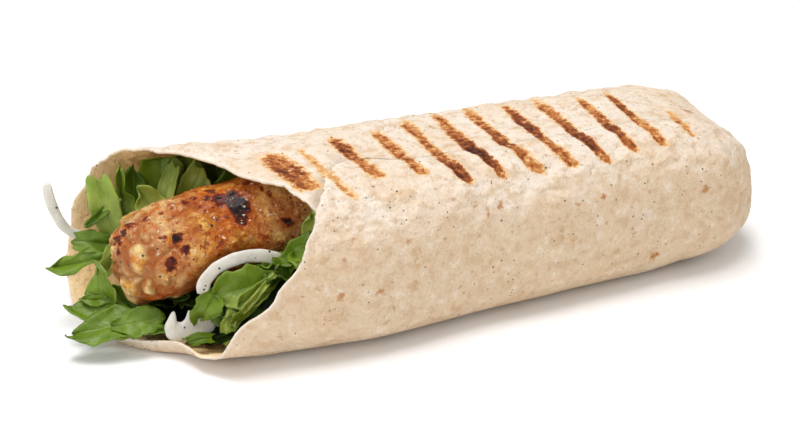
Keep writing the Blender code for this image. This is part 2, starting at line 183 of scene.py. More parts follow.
def torn(unrolled):
    """How far the baked edge strays from its line, in mm: most at the torn corner by the seam."""
    corner = max(ease((unrolled - 40) / 15), ease((-262 - unrolled) / 15) * 0.4)
    wander = 1.0 * noise.noise(Vector((unrolled * 0.06, 0.3, 0)))
    nibble = (0.45 + 1.1 * corner) * noise.noise(Vector((unrolled * 0.42, 4.1, 0)))
    return wander + nibble


def seam_line(x):
    """The angle at which the outer lap ends."""
    return SEAM_ANGLE - 9 * ease((x + 0.012) / 0.014)


def sheet_place(column, row):
    """Unrolled angle in degrees, x, end turn and distance from the mouth's edge of one grid point."""
    unrolled = SEAM_ANGLE - SHEET_ANGLE * column / SHEET_COLUMNS
    edge_x = (along(MOUTH_EDGE, unrolled) + torn(unrolled)) * MM
    x = edge_x + (SHOULDER_X - edge_x) * min(row / BODY_ROWS, 1) ** 1.15
    turned = max(row - BODY_ROWS, 0) / END_ROWS
    seam_bend = (SEAM_ANGLE - seam_line(x)) * (1 - ease((SEAM_ANGLE - unrolled) / 30))
    return unrolled - seam_bend, x, END_TURN * turned, x - edge_x


def lip_lift(unrolled, from_edge):
    """How far the mouth's lower edge curls up off the table, and its near corner with it."""
    curl = max(1 - max(from_edge, 0) / LIP_RUN, 0) ** 1.6
    lip = LIP_LIFT * ease((-45 - unrolled) / 20) * ease((unrolled + 112) / 15) * curl
    corner = CORNER_LIFT * ease((-34 - unrolled) / 14) * ease((unrolled + 82) / 16)
    return lip + corner * max(1 - max(from_edge, 0) / CORNER_RUN, 0)


def sheet_depth(unrolled, x):
    """How deep the sheet runs where it dips under its own outer lap, which fuses on from the fourth mark."""
    dip = LAP_STEP * ease((-unrolled - 150) / 110)
    covered = LAP_DEPTH * ease((SEAM_ANGLE - 360 - unrolled) / 25)
    fused = (LAP_STEP + 0.15 * MM) * (1 - ease((76 - unrolled) / 16)) * ease((x + 0.002) / 0.010)
    return dip + covered + fused


def on_bar(point):
    """How high up and how far along a place lies for the bars that pressed on the roll."""
    return point.z + PRESS_TILT * point.y, point.x - PRESS_TURN * point.y


BAR_LINES = [
    (on_bar(roll_section(radians(high), high_x * MM)), on_bar(roll_section(radians(low), low_x * MM)), *rest)
    for high, high_x, low, low_x, *rest in GRILL_MARKS
]


def grilled(angle, point):
    """How strongly a bar has marked this place (1 on its middle line), and how dark it has burnt it."""
    strongest, darkest = 0.0, 0.0
    if not 30 < angle < 130:
        return strongest, darkest
    height, aside = on_bar(point)
    for (top, top_aside), (foot, foot_aside), half, dark, worst in BAR_LINES:
        share = (top - height) / (top - foot)
        if not -0.1 < share < 1.1:
            continue
        swelling = 1 + 0.35 * noise.noise(Vector((share * 5, top_aside * 900, 0.5)))
        off = (aside - top_aside - (foot_aside - top_aside) * share) / (half * MM * swelling)
        ends = min(ease((share + 0.08) / 0.22), ease((1.08 - share) / 0.16))
        mark = max(1 - abs(off), 0) * ends * (1 + min(dark, 0))
        if mark > strongest:
            burnt = exp(-((share - worst) / 0.2) ** 2)
            near_edge = 0.35 * exp(-((off + 0.45) / 0.2) ** 2)
            strongest, darkest = mark, dark * (0.1 + 0.9 * burnt) + near_edge
    return strongest, darkest


def bread_relief(point, angle, turn, mark):
    """How deep the surface lies below the plain roll: soft waves, blisters, pressed marks and pleats."""
    lift = ease((sin(angle) + 0.75) / 0.4)
    waves = 0.9 * noise.noise(Vector((point.x * 28, cos(angle) * 1.3, sin(angle) * 1.3))) * lift
    waves += 0.55 * noise.noise(point * 70) * (0.3 + 0.7 * lift)
    crumple = 1.25 * abs(noise.noise(point * 130 + Vector((3, 1, 7)))) + 0.55 * abs(noise.noise(point * 270))
    shoulder = ease((sin(angle) - 0.1) / 0.4) * ease((1.0 - sin(angle)) / 0.12)
    pressed = 0.30 * ease(mark * 2)
    creases = 0.5 * ease((turn - 0.25) / 0.9) * sin(angle * 10 + 2.5 * noise.noise(point * 45))
    return (waves - crumple * (0.45 + 0.75 * shoulder) * lift + pressed - creases) * MM


def bread_sheet():
    """The sheet as one closed skin: outer face, rounded rim at the mouth, inner face, lap edges and end."""
    bm = bmesh.new()
    facts = {"grill": [], "char": [], "raw": [], "inner": [], "under": [], "seam_shade": []}

    def add(place, grill=0.0, char=0.0, raw=0.0, inner=0.0, under=0.0, seam_shade=0.0, lift=Vector()):
        for key, value in zip(facts, (grill, char, raw, inner, under, seam_shade)):
            facts[key].append(value)
        return bm.verts.new(Vector((place.x, place.y, max(place.z, 0))) + lift)

    outer, rim, inner = [], [], []
    for column in range(SHEET_COLUMNS + 1):
        outer.append([])
        inner.append([])
        for row in range(BODY_ROWS + END_ROWS + 1):
            unrolled, x, turn, from_edge = sheet_place(column, row)
            angle = radians(unrolled)
            surface = roll_point(angle, x, turn)
            inward = roll_inward(angle, x, turn)
            seen_angle = unrolled + 360 if unrolled < -200 else unrolled
            mark, dark = grilled(seen_angle, surface)
            lip = exp(-from_edge / (7 * MM))
            flare = 1.1 * MM * lip * noise.noise(Vector((unrolled * 0.028, 7.7, 0)))
            depth = sheet_depth(unrolled, x) + bread_relief(surface, angle, turn, mark) - flare
            # Where the sheet runs under the outer lap it is made greyer: painted shade cast by the lap, with
            # a little of the sheet's own duller tone.
            under = 0.0
            if unrolled < -262:
                outer_edge = along(MOUTH_EDGE, min(unrolled + 360, SEAM_ANGLE)) * MM
                under = ease((x - outer_edge + 6 * MM) / (4 * MM)) * ease((-6 * MM - x) / (8 * MM))
                under *= ease((-268 - unrolled) / 8)
            raw = ease((unrolled - 48) / 20) * exp(-from_edge / (1.6 * MM))
            raw = max(raw, 0.9 * exp(-from_edge / (0.9 * MM)))
            beside = abs(seen_angle - seam_line(x)) * DEGREE_WIDTH
            # Painted shade: a thin dark line along the edge of the outer lap, where it lies on the sheet
            # beneath.
            seam_shade = ease((x + 17 * MM) / (3 * MM)) * ease((24 * MM - x) / (9 * MM))
            seam_shade *= max(1 - beside / (1.6 * MM), 0)
            lifted = Vector((0, 0, lip_lift(unrolled, from_edge)))
            outer[-1].append(add(surface + inward * depth, mark, dark, raw, 0.0, under, seam_shade, lifted))
            thickness = BREAD_THICKNESS * (0.3 + 0.7 * ease((SEAM_ANGLE - unrolled) / 22)) * (1 - 0.3 * lip)
            if row == 0:
                middle = surface + inward * (depth + thickness / 2)
                rim.append(add(middle - Vector((0.35 * MM, 0, 0)), raw=1.0, lift=lifted))
            if row in INNER_ROWS:
                crumb = 0.35 * MM * noise.noise(surface * 130 + Vector((9, 9, 9)))
                wall = surface + inward * (depth + thickness + crumb * (1 - lip))
                inner[-1].append(add(wall, raw=lip * 0.5, inner=1.0, lift=lifted))
    last = len(INNER_ROWS) - 1
    for a, b in zip(range(SHEET_COLUMNS), range(1, SHEET_COLUMNS + 1)):
        for row in range(BODY_ROWS + END_ROWS):
            bm.faces.new((outer[a][row], outer[b][row], outer[b][row + 1], outer[a][row + 1]))
        bm.faces.new((outer[b][0], outer[a][0], rim[a], rim[b]))
        bm.faces.new((rim[b], rim[a], inner[a][0], inner[b][0]))
        for k in range(last):
            bm.faces.new((inner[b][k], inner[a][k], inner[a][k + 1], inner[b][k + 1]))
        bm.faces.new((outer[a][-1], outer[b][-1], inner[b][-1], inner[a][-1]))
    for k in range(last):
        low, high = INNER_ROWS[k], INNER_ROWS[k + 1]
        corner = ([rim[0]], [rim[-1]]) if k == 0 else ([], [])
        bm.faces.new(outer[0][low:high + 1] + [inner[0][k + 1], inner[0][k]] + corner[0])
        bm.faces.new(outer[-1][low:high + 1][::-1] + corner[1] + [inner[-1][k], inner[-1][k + 1]])
    return bm, facts


def new_piece(name, bm, facts=None):
    """Turn a bmesh into a smooth-shaded object, with the facts about each vertex as attributes."""
    mesh = bpy.data.meshes.new(name)
    bm.to_mesh(mesh)
    bm.free()
    for key, values in (facts or {}).items():
        mesh.attributes.new(key, "FLOAT", "POINT").data.foreach_set("value", values)
    mesh.shade_smooth()
    piece = bpy.data.objects.new(name, mesh)
    bpy.context.collection.objects.link(piece)
    return piece


def colour(red, green, blue):
    """A colour given as on a screen, from 0 to 255, as the shader wants it."""
    return tuple((c / 255) ** 2.2 for c in (red, green, blue)) + (1.0,)


def feed(made, inputs):
    """Feed a node's inputs with values or with other nodes' outputs."""
    for name, value in inputs.items():
        if isinstance(value, bpy.types.NodeSocket):
            made.id_data.links.new(value, made.inputs[name])
        else:
            made.inputs[name].default_value = value


def node(tree, kind, inputs=(), **settings):
    """Add a shader node, set it up and feed its inputs."""
    made = tree.nodes.new("ShaderNode" + kind)
    for name, value in settings.items():
        setattr(made, name, value)
    feed(made, dict(inputs))
    return made


def new_look(name):
    """A material, its node tree, its main shader, and the place on the piece that is shaded."""
    look = bpy.data.materials.new(name)
    look.use_nodes = True
    tree = look.node_tree
    return look, tree, tree.nodes["Principled BSDF"], node(tree, "TexCoord").outputs["Object"]


def maths(operation, a, b=0.0):
    """Reckon with a and b, of which at least one is another node's output."""
    linked = a if isinstance(a, bpy.types.NodeSocket) else b
    return node(linked.id_data, "Math", {0: a, 1: b}, operation=operation).outputs[0]


def times(a, b):
    return maths("MULTIPLY", a, b)


def swing(value, amount):
    """Turn variation from 0 to 1 into variation about 0."""
    return times(maths("SUBTRACT", value, 0.5), amount)


def fact(tree, name):
    return node(tree, "Attribute", attribute_name=name).outputs["Fac"]


def facing_up(tree):
    """1 where the surface faces up, 0 where it is upright."""
    return node(tree, "SeparateXYZ", {0: node(tree, "NewGeometry").outputs["Normal"]}).outputs[2]


def clouds(place, scale, detail=4.0, roughness=0.55):
    """Soft random variation from 0 to 1."""
    inputs = {"Vector": place, "Scale": scale, "Detail": detail, "Roughness": roughness}
    return node(place.id_data, "TexNoise", inputs).outputs["Fac"]


def window(value, low, high):
    """0 below low, 1 above high and smooth between; low may be the higher one."""
    inputs = {"Value": value, "From Min": low, "From Max": high}
    return node(value.id_data, "MapRange", inputs, interpolation_type="SMOOTHSTEP").outputs["Result"]


def tint(under, hue, share, strength=None):
    """Lay a hue over a colour by its share, which a strength weakens."""
    share = share if strength is None else times(share, strength)
    return node(share.id_data, "Mix", {0: share, 6: under, 7: colour(*hue)}, data_type="RGBA").outputs[2]


def specks(place, scale, size, share):
    """Scattered dots: size is a part of a cell, and share the part of the cells that have one."""
    cells = node(place.id_data, "TexVoronoi", {"Vector": place, "Scale": scale}).outputs
    chosen = node(place.id_data, "SeparateColor", {0: cells["Color"]}).outputs[0]
    return times(window(cells["Distance"], size * 1.5, size * 0.7), maths("LESS_THAN", chosen, share))


def strayed(place, scale, amount):
    """A place shaken by noise, so that what is drawn there gets an irregular outline."""
    tree = place.id_data
    shake = node(tree, "TexNoise", {"Vector": place, "Scale": scale, "Detail": 3.0}).outputs["Color"]
    shift = node(tree, "VectorMath", {0: shake, 1: (0.5, 0.5, 0.5)}, operation="SUBTRACT").outputs[0]
    shift = node(tree, "VectorMath", {0: shift, "Scale": amount}, operation="SCALE").outputs[0]
    return node(tree, "VectorMath", {0: place, 1: shift}, operation="ADD").outputs[0]


def patches(place, spots):
    """Single patches at chosen places: (x, y, z) and radius in mm, and strength."""
    found = None
    for x, y, z, radius, strength in spots:
        centre = (x * MM, y * MM, z * MM)
        away = node(place.id_data, "VectorMath", {0: place, 1: centre}, operation="DISTANCE").outputs["Value"]
        spot = times(window(away, radius * 1.3 * MM, radius * 0.5 * MM), strength)
        found = spot if found is None else maths("MAXIMUM", found, spot)
    return found


def bump(shader, layers):
    """Stack height fields, each (height, distance in mm), into the shader's normal."""
    inputs = {"Strength": 1.0}
    for height, distance in layers:
        inputs.update({"Height": height, "Distance": distance * MM})
        inputs["Normal"] = node(shader.id_data, "Bump", inputs).outputs["Normal"]
    feed(shader, {"Normal": inputs["Normal"]})


def let_light_through(shader, share, tone):
    """Let a share of the light shine through a thin piece."""
    tree = shader.id_data
    thin = node(tree, "BsdfTranslucent", {"Color": tone})
    both = node(tree, "MixShader", {0: share, 1: shader.outputs[0], 2: thin.outputs[0]})
    feed(tree.nodes["Material Output"], {"Surface": both.outputs[0]})


# Toasted freckles that show on the near side: x, y, z, radius in mm and strength
TOASTED = [
    (68, -37.5, 42, 1.5, 0.9), (58, -38, 41, 1.0, 0.7), (19, -38, 46.8, 1.2, 0.6),
    (28.5, -37.5, 45, 1.3, 0.8), (23.5, -39, 43, 1.0, 0.7), (19.5, -40.6, 37, 1.3, 0.6),
    (81.5, -38, 25.3, 1.4, 0.6), (110, -36, 37.8, 2.2, 0.8), (110, -36.3, 29, 1.4, 0.8),
    (-7.5, -45.8, 41, 1.2, 0.6), (-18.5, -49.4, 25.5, 1.8, 0.8), (-32.5, -49.7, 26.6, 1.7, 0.8),
    (-27, -46.3, 44.7, 1.0, 0.6), (42, -35.5, 9.5, 2.0, 0.5), (36, -38.3, 16.8, 1.8, 0.6),
    (92, -35, 12.7, 2.6, 1.0), (118, -5.6, 56.3, 2.6, 0.7), (51, -39, 33, 1.2, 0.4),
    (120, -30, 40, 1.5, 0.7), (-39.5, -49.5, 30.6, 1.3, 0.5),
]


def bread_look():
    look, tree, shader, place = new_look("flatbread")
    mottle, grit = clouds(strayed(place, 200, 0.003), 230, 6.0, 0.65), clouds(place, 1100, 3.0, 0.7)
    # Painted light: faces that look up are made paler cream and upright sides stay tan, as the light from
    # above falls on them.
    skin = tint(colour(234, 212, 182), (241, 230, 215), window(facing_up(tree), 0.1, 0.85))
    skin = tint(skin, (232, 203, 166), window(clouds(place, 38), 0.38, 0.68), 0.5)
    skin = tint(skin, (216, 184, 146), window(mottle, 0.50, 0.62), 0.6)
    skin = tint(skin, (250, 238, 220), window(mottle, 0.46, 0.34), 0.6)
    skin = tint(skin, (200, 166, 126), window(grit, 0.52, 0.72), 0.5)
    freckles = clouds(strayed(place, 300, 0.004), 135, 4.0, 0.65)
    skin = tint(skin, (206, 164, 116), window(freckles, 0.59, 0.71), 0.65)
    skin = tint(skin, (176, 126, 78), specks(strayed(place, 700, 0.003), 190, 0.12, 0.45), 0.5)
    toasted = patches(strayed(place, 480, 0.005), TOASTED)
    skin = tint(skin, (184, 116, 60), toasted, window(clouds(place, 700, 4.0), 0.30, 0.50))
    # The inner face is yellower and brighter: a little of it is the sheet's own tone, most is painted light
    # standing for light shining through the thin sheet.
    skin = tint(skin, (255, 212, 132), fact(tree, "inner"), 0.85)
    # Mostly painted shade from the outer lap, partly the sheet's own duller tone.
    skin = tint(skin, (196, 180, 160), fact(tree, "under"), 0.8)
    skin = tint(skin, (250, 242, 226), fact(tree, "raw"), 0.75)

    heat = maths("MINIMUM", times(fact(tree, "grill"), 1.3), 0.78)
    heat = maths("ADD", heat, swing(clouds(place, 900, 5.0, 0.8), 1.9))
    heat = maths("ADD", heat, swing(clouds(place, 380, 4.0, 0.6), 1.9))
    scorch = maths("ADD", heat, times(fact(tree, "char"), 0.55))
    scorched = (
        (heat, 0.0, 0.25, (240, 206, 156)), (heat, 0.30, 0.55, (218, 158, 98)),
        (scorch, 0.62, 0.86, (178, 106, 58)), (scorch, 0.92, 1.14, (122, 66, 42)),
        (scorch, 1.24, 1.44, (60, 36, 34)),
    )
    on_mark = window(fact(tree, "grill"), 0.02, 0.30)
    for value, low, high, hue in scorched:
        skin = tint(skin, hue, window(value, low, high), on_mark)

    # Painted shade along the edge of the outer lap.
    seam_shade = maths("ADD", fact(tree, "seam_shade"), swing(clouds(place, 420), 0.35))
    skin = tint(skin, (150, 104, 66), window(seam_shade, 0.62, 0.82), 0.75)
    pepper = maths("MAXIMUM", specks(place, 520, 0.13, 0.17), specks(place, 250, 0.08, 0.26))
    skin = tint(skin, (60, 46, 40), pepper)
    feed(shader, {"Base Color": skin, "Roughness": 0.85, "Specular IOR Level": 0.2})
    bump(shader, [(clouds(place, 150, 6.0, 0.6), 2.4), (mottle, 0.9), (grit, 0.25)])
    let_light_through(shader, 0.16, colour(255, 206, 140))
    return look


bread_finish = bread_look()
bread_bm, bread_facts = bread_sheet()
flatbread = new_piece("flatbread_sheet", bread_bm, bread_facts)
flatbread.data.materials.append(bread_finish)
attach(flatbread, "root")
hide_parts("flatbread")


# The tuck is the gathered far end of the sheet. Its pleats meet in a small pressed knot that is pushed
# into the closed end of the roll.

TUCK_PLEATS = 9
TUCK_HALF_WIDTH, TUCK_HALF_HEIGHT, TUCK_REACH = 10 * MM, 8.5 * MM, 5 * MM


def tuck():
    bm = bmesh.new()
    bmesh.ops.create_uvsphere(bm, u_segments=108, v_segments=44, radius=1)
    for vertex in bm.verts:
        around = atan2(vertex.co.y, vertex.co.x)
        out = sqrt(max(1 - vertex.co.z ** 2, 0))
        swirl = around + 0.9 * (1 - out)
        pleat = 1 + 0.10 * sin(5 * around + 0.45) + 0.05 * sin(TUCK_PLEATS * swirl)
        fold = 0.9 * MM * sin(TUCK_PLEATS * swirl) * out * (1 - out ** 4)
        x = END_X - 3 * MM + TUCK_REACH * signed_power(vertex.co.z, 0.6) + fold
        y = 2 * MM + TUCK_HALF_WIDTH * out * pleat * cos(around)
        z = END_HEART * ROLL_HEIGHT + TUCK_HALF_HEIGHT * out * pleat * sin(around)
        vertex.co = Vector((x, y, z))
        vertex.co.x += 0.5 * MM * noise.noise(vertex.co * 260)
    return bm


bread_tuck = new_piece("flatbread_tuck", tuck())
bread_tuck.data.materials.append(bread_finish)
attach(bread_tuck, "root")
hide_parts("flatbread")


# The kebab is minced chicken with pepper and onion, pressed by hand into a sausage on a skewer and grilled
# until it is browned, charred in places and shining with its own fat; its shine is glossy shading plus pale
# glints painted on its upper side. It lies on the leaves in the roll.

KEBAB_START_X, KEBAB_END_X = -98.5 * MM, 100 * MM
KEBAB_RADIUS = 16.6 * MM
KEBAB_Y = -3 * MM
KEBAB_AROUND, KEBAB_ALONG = 200, 230
KEBAB_SEED = 7


def kebab_centre(x):
    return Vector((x, KEBAB_Y, (29 + 8.5 * ease((x + 0.092) / 0.05)) * MM))


def kebab_radius(x):
    middle = (KEBAB_START_X + KEBAB_END_X) / 2
    half = (KEBAB_END_X - KEBAB_START_X) / 2
    reach = min(abs(x - middle) / half, 1)
    return KEBAB_RADIUS * (1 - reach ** 16) ** 0.5 * (1 + 0.05 * ease((-0.045 - x) / 0.03))


def mince_relief(point):
    """How far the pressed mince stands out in mm, and how deep this place lies in a crease between lumps."""
    loose = point + 4.0 * MM * noise.noise_vector(point * 110)
    lumps, crumbs = noise.voronoi(loose * 115)[0], noise.voronoi(loose * 300)[0]
    lump, crumb = ease((lumps[1] - lumps[0]) / 0.5), ease((crumbs[1] - crumbs[0]) / 0.6)
    glazed = ease((noise.noise(point * 60 + Vector((5, 5, 5))) + 0.15) / 0.4)
    near_end = ease((-0.074 - point.x) / 0.016) * ease((point.z - 0.047) / -0.008)
    crumbly = 1 - 0.6 * glazed
    lift = (0.3 + 1.5 * near_end) * lump + 0.4 * crumbly * crumb
    lift += 1.2 * noise.noise(point * 80 + Vector((1, 4, 2)))
    return lift - 0.7, (1 - lump) * (0.25 + 0.75 * near_end) + 0.4 * (1 - crumb) * crumbly


def stitch(bm, rows, closed=True):
    """Join each row of vertices to the next one with faces, all the way round if the rows are rings."""
    for near, far in zip(rows, rows[1:]):
        for a in range(len(near) if closed else len(near) - 1):
            b = (a + 1) % len(near)
            bm.faces.new((near[a], near[b], far[b], far[a]))


def cap(bm, ring, tip):
    """Close a ring of vertices with faces that meet in a tip."""
    for a, b in zip(ring, ring[1:] + ring[:1]):
        bm.faces.new((a, b, tip))


def kebab_body():
    """Rings round the sausage from tip to tip, closest together where it shows at the mouth."""
    bm = bmesh.new()
    half, middle = (KEBAB_END_X - KEBAB_START_X) / 2, (KEBAB_START_X + KEBAB_END_X) / 2
    rings = []
    for step in range(1, KEBAB_ALONG):
        t = -1 + 2 * (step / KEBAB_ALONG) ** 1.7
        x = middle + half * signed_power(sin(t * pi / 2), 0.8)
        radius = kebab_radius(x)
        ring = []
        for turn in range(KEBAB_AROUND):
            around = 2 * pi * turn / KEBAB_AROUND
            out = Vector((0, cos(around), sin(around)))
            lump = 1.3 * MM * noise.noise(Vector((x, out.y * radius, out.z * radius)) * 85)
            ring.append(bm.verts.new(kebab_centre(x) + out * (radius + lump * min(radius / KEBAB_RADIUS, 1))))
        rings.append(ring)
    stitch(bm, rings)
    cap(bm, rings[0], bm.verts.new(kebab_centre(KEBAB_START_X)))
    cap(bm, rings[-1], bm.verts.new(kebab_centre(KEBAB_END_X)))
    bmesh.ops.recalc_face_normals(bm, faces=bm.faces)
    bm.normal_update()
    reliefs = [mince_relief(vertex.co) for vertex in bm.verts]
    for vertex, (lift, _) in zip(bm.verts, reliefs):
        vertex.co += vertex.normal * lift * MM
    return bm, {"crease": [crease for _, crease in reliefs]}


def on_kebab(degrees_round, x):
    """The place in mm on the kebab's surface, at an angle where 90 is its top and 180 its near side."""
    around, radius = radians(degrees_round), kebab_radius(x * MM)
    centre = kebab_centre(x * MM)
    place = centre + Vector((0, cos(around), sin(around))) * radius
    return tuple(value / MM for value in place)


# Charred and browned patches: angle round the kebab, x in mm, radius in mm, strength
CHARRED = [
    (114, -62, 3.2, 0.9), (118, -58, 4.0, 1.1), (128, -57, 4.4, 1.2), (138, -56, 4.2, 1.1),
    (148, -56, 3.4, 0.9), (136, -61, 2.4, 0.8), (156, -57, 2.0, 0.7), (144, -79, 2.2, 1.25),
    (156, -76.5, 2.7, 1.35), (98, -93, 2.0, 0.8), (94, -97, 2.2, 0.9), (104, -52, 2.2, 0.7),
    (96, -86, 1.8, 0.8), (99, -78, 1.6, 0.7), (166, -41, 3.0, 1.0), (130, -46, 2.0, 0.7),
    (118, -48, 1.8, 0.8), (168, -82, 2.2, 0.95), (162, -71, 1.4, 0.6), (215, -84, 3.0, 0.6),
    (222, -74, 3.4, 0.7), (228, -64, 4.0, 0.8), (178, -50, 2.0, 0.6), (110, -40, 2.2, 0.6),
    (109, -84, 1.3, 0.7), (170, -95, 1.4, 0.5), (122, -68, 1.6, 0.6), (150, -68, 1.2, 0.6),
    (176, -66, 1.4, 0.6), (102, -95, 1.8, 0.9), (100, -91, 1.7, 0.8), (101, -87, 1.5, 0.8),
    (122, -97.3, 1.7, 0.9), (112, -96.5, 1.8, 1.0), (108, -66, 2.2, 0.9), (124, -78, 1.4, 0.8),
    (136, -84, 1.3, 0.7), (142, -70, 1.6, 0.8), (100, -82, 1.9, 0.9), (98, -74, 1.9, 0.9),
    (99, -70, 1.6, 0.8), (97, -64, 1.9, 0.9), (112, -88, 1.3, 0.8),
]
BROWNED = [
    (125, -58, 10, 1.0), (152, -57, 8, 0.8), (104, -50, 8, 0.8), (160, -40, 9, 0.9), (96, -90, 6, 1.0),
    (95, -74, 6, 0.9), (162, -79, 6, 0.7), (214, -86, 8, 0.8), (224, -70, 11, 0.9), (168, -88, 4, 0.4),
    (190, -50, 9, 0.8), (130, -90, 4, 0.3), (112, -74, 8, 0.8), (138, -70, 9, 0.7), (180, -62, 9, 0.7),
]


def kebab_look():
    look, tree, shader, place = new_look("chicken")
    fine, uneven = clouds(place, 520, 8.0, 0.75), clouds(place, 180, 6.0, 0.7)
    lengthwise = node(tree, "SeparateXYZ", {0: place}).outputs[0]
    meat = tint(colour(240, 170, 58), (216, 112, 8), window(clouds(place, 95, 5.0, 0.6), 0.43, 0.54))
    meat = tint(meat, (202, 98, 16), window(clouds(place, 150, 5.0, 0.65), 0.49, 0.58))
    meat = tint(meat, (255, 216, 124), window(uneven, 0.46, 0.34), 0.5)
    pale_end = times(window(lengthwise, -0.066, -0.088), window(uneven, 0.64, 0.42))
    meat = tint(meat, (255, 226, 156), pale_end, 0.95)
    # Painted light: the far part inside the roll is made paler to make up for the shade of the bread's flap
    # over it.
    painted_light_inside_roll = maths("SUBTRACT", 1.0, window(lengthwise, -0.042, -0.056))
    meat = tint(meat, (255, 208, 124), painted_light_inside_roll, 0.85)
    # Painted shade: darker in the creases between the lumps of mince.
    meat = tint(meat, (172, 96, 40), fact(tree, "crease"), 0.8)
    speckled = times(window(fine, 0.50, 0.64), window(lengthwise, -0.098, -0.070))
    meat = tint(meat, (148, 64, 8), speckled, 0.8)

    loose = strayed(place, 240, 0.006)
    browned = patches(loose, [(*on_kebab(a, x), r, s) for a, x, r, s in BROWNED])
    meat = tint(meat, (166, 76, 12), times(browned, window(uneven, 0.34, 0.56)), 0.85)
    dabs = times(window(clouds(place, 280, 6.0, 0.7), 0.56, 0.63), window(lengthwise, -0.100, -0.074))
    meat = tint(meat, (126, 46, 8), dabs, 0.85)
    charred = patches(loose, [(*on_kebab(a, x), r, s) for a, x, r, s in CHARRED])
    charred = maths("ADD", charred, swing(fine, 1.8))
    charred = maths("ADD", charred, swing(uneven, 0.9))
    for hue, low, high in (((168, 76, 14), 0.28, 0.50), ((98, 30, 8), 0.55, 0.78), ((20, 9, 6), 0.92, 1.15)):
        meat = tint(meat, hue, window(charred, low, high))

    herbs, pepper = specks(place, 300, 0.16, 0.08), specks(place, 430, 0.16, 0.25)
    meat = tint(tint(meat, (70, 48, 18), herbs), (34, 20, 12), pepper)
    # Painted highlights: pale glints on upward-facing bumps, standing for the lamp's reflection in the fat.
    painted_glints = times(window(clouds(place, 620, 5.0, 0.7), 0.585, 0.63), window(facing_up(tree), 0.0, 0.6))
    painted_glints = times(painted_glints, window(clouds(place, 120), 0.42, 0.58))
    meat = tint(meat, (255, 240, 206), painted_glints, 0.9)
    feed(shader, {
        "Base Color": meat, "Roughness": maths("SUBTRACT", 0.5, times(window(uneven, 0.35, 0.65), 0.25)),
        "Specular IOR Level": 0.25, "Coat Weight": 0.14, "Coat Roughness": 0.10,
        "Subsurface Weight": 0.06, "Subsurface Radius": (1.0, 0.4, 0.2), "Subsurface Scale": 2 * MM,
    })
    bump(shader, [(clouds(place, 330, 6.0, 0.7), 2.0), (clouds(place, 1200, 3.0), 0.5)])
    return look


# The shaken places in the mince would shift with the clock if the noise had no seed.
noise.seed_set(KEBAB_SEED)
kebab = new_piece("kebab", *kebab_body())
kebab.data.materials.append(kebab_look())
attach(kebab, "root")
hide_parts("chicken_kebab")


# The bed is rocket and spinach, washed, torn and packed along the bread under and beside the kebab. Its
# near-black colour is painted shade: it stands for the shadowed depths that show between the loose leaves
# at the mouth.

BED_START_X, BED_END_X = -91.3 * MM, 112 * MM
BED_INSET, BED_FLOOR, BED_LEAST = 5.6 * MM, 3.4 * MM, 3 * MM
BED_STATIONS, BED_HALF_STEPS = 110, 36
BED_TAPER_RUN, BED_BULGE = 29 * MM, 2.5 * MM
MOUTH_ROOM = 7 * MM


def bed_top(x, y):
    """Height of the bed: low in the mouth, heaped in front of the kebab and behind it."""
    behind = 21 + 10 * ease((x + 0.085) / 0.04)
    front = 8 + 22 * ease((x + 0.074) / 0.034)
    under = 8 + 18 * ease((x + 0.074) / 0.05)
    side_height, reach = (behind, y - KEBAB_Y) if y > KEBAB_Y else (front, KEBAB_Y - y)
    side = under + (side_height - under) * ease(reach / 0.014)
    crumple = 1.6 * noise.noise(Vector((x, y, 0)) * 90)
    return (side + 14 * ease((x + 0.036) / 0.03) + crumple) * MM


def bed_ring(x, taper):
    """One section of the bed: its underside follows the bread, its top is the heap's height."""
    behind_lip = 10 * MM * ease((-0.056 - x) / 0.012)
    front, back = roll_section(0, x).y + BED_INSET + behind_lip, roll_section(pi, x).y - BED_INSET
    ceiling = roll_section(pi / 2, x).z - BED_INSET
    bottom = roll_section(-pi / 2, x).z + BED_FLOOR
    heart, half, middle = (front + back) / 2, (back - front) / 2 * taper, (ceiling + bottom) / 2
    under, over = [], []
    for step in range(BED_HALF_STEPS + 1):
        share = -cos(pi * step / BED_HALF_STEPS)
        bulge = (1 - abs(share) ** SECTION_POWER) ** (1 / SECTION_POWER)
        y = heart + half * share
        top = min(bed_top(x, y), middle + (ceiling - middle) * bulge)
        low = middle + (bottom - middle) * bulge
        under.append(Vector((x, y, min(low, top - BED_LEAST))))
        over.append(Vector((x, y, top)))
    return under + over[::-1]


def clear_of_kebab(point, room):
    """Push a place out of the kebab."""
    if not KEBAB_START_X - room < point.x < KEBAB_END_X:
        return point
    centre = kebab_centre(point.x)
    radius = kebab_radius(max(point.x, KEBAB_START_X + 0.3 * MM)) + room
    out = point - centre
    if out.length < radius:
        return centre + out.normalized() * radius
    return point


def unrolled_angle(across, upward):
    """The place round the roll on the unrolled sheet, in degrees, from shares of the roll's half sizes."""
    power = SECTION_POWER / 2
    angle = degrees(atan2(signed_power(upward, power), signed_power(-across, power)))
    return angle if angle <= SEAM_ANGLE else angle - 360


def behind_mouth(point, room):
    """Pull a place into the roll where it would stick out past the mouth's edge."""
    unrolled = unrolled_angle((point.y - MOUTH_SHIFT) / (ROLL_WIDTH / 2), point.z / (ROLL_HEIGHT / 2) - 1)
    return Vector((max(point.x, along(MOUTH_EDGE, unrolled) * MM + room), point.y, point.z))


